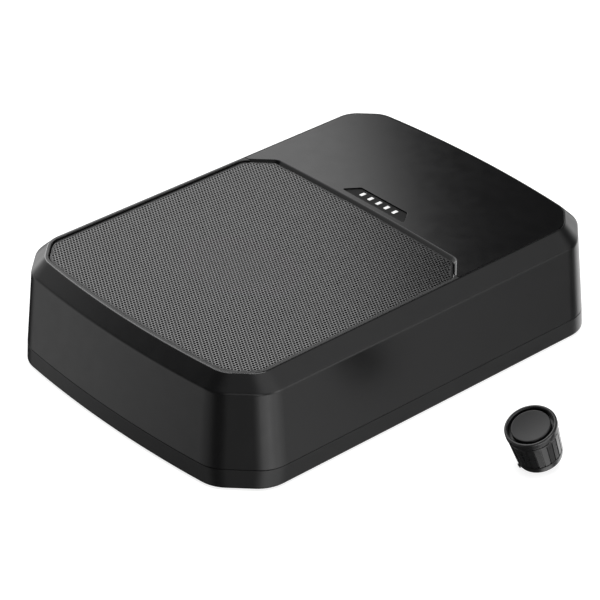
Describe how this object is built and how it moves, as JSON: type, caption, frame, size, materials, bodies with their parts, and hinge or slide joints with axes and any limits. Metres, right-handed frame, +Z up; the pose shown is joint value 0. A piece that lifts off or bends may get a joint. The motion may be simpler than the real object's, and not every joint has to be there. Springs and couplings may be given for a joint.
{
  "type": "powered car subwoofer",
  "caption": "Low underseat bass speaker in a cast housing with built-in amplifier, perforated grille, connector panel and a separate wired level knob.",
  "frame": {"origin": "on the floor under the middle of the main box's base", "axes": "+Z up, +X along the box towards the end with the connectors, the remote knob on the -Y side"},
  "size_m": [0.345, 0.3535, 0.0789],
  "materials": {
    "housing_paint": "satin black powder coat on die-cast aluminium",
    "top_gloss": "smooth black, semi-gloss",
    "black_plastic": "fine matt moulded",
    "knob_plastic": "satin moulded, soft highlights",
    "grille_steel": "matt black perforated steel",
    "black_steel": "black e-coated steel",
    "plated_steel": "zinc plated",
    "nickel": "nickel plated",
    "aluminium": "natural extrusion",
    "rubber": "matt black",
    "seal_foam": "closed-cell foam, dark grey",
    "cone_paper": "coated black pulp",
    "ferrite": "dark grey sintered ferrite",
    "copper": "enamelled copper wire",
    "former": "amber polyimide film",
    "spider_cloth": "resin-dipped woven cloth",
    "circuit_board": "green solder mask",
    "capacitor_sleeve": "dark blue shrink sleeve",
    "white_mark": "light grey plastic",
    "led_lens": "clear blue lens",
    "fuse_amber": "amber fuse body"
  },
  "bodies": {
    "root": {"amplifier_board": "circuit_board", "badge_plate": "top_gloss", "blade_fuse": "fuse_amber", "bottom_cover": "black_plastic", "capacitor_1": "capacitor_sleeve", "capacitor_2": "capacitor_sleeve", "control_board": "circuit_board", "control_panel": "black_plastic", "driver_basket": "black_steel", "driver_seal": "seal_foam", "driver_terminal": "black_plastic", "fuse_holder": "black_plastic", "grille_frame": "black_plastic", "grille_mesh": "grille_steel", "heat_sink": "aluminium", "housing_screw_1": "black_steel", "housing_screw_2": "black_steel", "housing_screw_3": "black_steel", "housing_screw_4": "black_steel", "housing_screw_5": "black_steel", "housing_screw_6": "black_steel", "magnet": "ferrite", "magnet_top_plate": "plated_steel", "output_inductor": "copper", "perimeter_gasket": "rubber", "pole_yoke": "plated_steel", "potentiometers": "plated_steel", "power_socket": "black_plastic", "power_transistors": "black_plastic", "rca_jacks": "nickel", "remote_base": "knob_plastic", "remote_cable_outlet": "rubber", "remote_encoder": "plated_steel", "remote_socket": "black_plastic", "rubber_foot_1": "rubber", "rubber_foot_2": "rubber", "rubber_foot_3": "rubber", "rubber_foot_4": "rubber", "slide_switches": "plated_steel", "speaker_leads": "rubber", "speaker_level_socket": "black_plastic", "spider": "spider_cloth", "status_led": "led_lens", "supply_transformer": "copper", "surround": "rubber", "surround_gasket": "rubber", "tinsel_leads": "copper", "top_housing": "housing_paint", "top_plate": "top_gloss"},
    "cone_assembly": {"cone": "cone_paper", "dust_cap": "cone_paper", "voice_coil_former": "former", "voice_coil": "copper"},
    "gain_knob": {"gain_knob": "knob_plastic"},
    "crossover_knob": {"crossover_knob": "knob_plastic"},
    "bass_boost_knob": {"bass_boost_knob": "knob_plastic"},
    "phase_slider": {"phase_slider": "white_mark"},
    "power_mode_slider": {"power_mode_slider": "white_mark"},
    "remote_knob": {"remote_knob": "knob_plastic"},
    "remote_button": {"remote_button": "knob_plastic"}
  },
  "joints": [
    {"name": "cone_travel", "type": "slide", "parent": "root", "child": "cone_assembly", "axis": [0, 0, 1], "range_m": [-0.006, 0.006], "stiffness_N_per_m": 4000, "deforming": ["spider", "surround", "tinsel_leads"]},
    {"name": "gain_turn", "type": "hinge", "parent": "root", "child": "gain_knob", "pos_m": [0.1658, 0.014, 0.048], "axis": [1, 0, 0], "range_deg": [-140, 140]},
    {"name": "crossover_turn", "type": "hinge", "parent": "root", "child": "crossover_knob", "pos_m": [0.1658, 0.034, 0.048], "axis": [1, 0, 0], "range_deg": [-140, 140]},
    {"name": "bass_boost_turn", "type": "hinge", "parent": "root", "child": "bass_boost_knob", "pos_m": [0.1658, 0.054, 0.048], "axis": [1, 0, 0], "range_deg": [-140, 140]},
    {"name": "phase_slide", "type": "slide", "parent": "root", "child": "phase_slider", "axis": [0, 1, 0], "range_m": [0, 0.003]},
    {"name": "power_mode_slide", "type": "slide", "parent": "root", "child": "power_mode_slider", "axis": [0, 1, 0], "range_m": [0, 0.003]},
    {"name": "remote_knob_turn", "type": "hinge", "parent": "root", "child": "remote_knob", "pos_m": [0.00382, -0.2124, 0.01938], "axis": [-0.3584, 0, 0.9336], "range_deg": [-145, 145]},
    {"name": "remote_button_push", "type": "slide", "parent": "root", "child": "remote_button", "axis": [0.3584, 0, -0.9336], "range_m": [0, 0.001], "stiffness_N_per_m": 800}
  ]
}
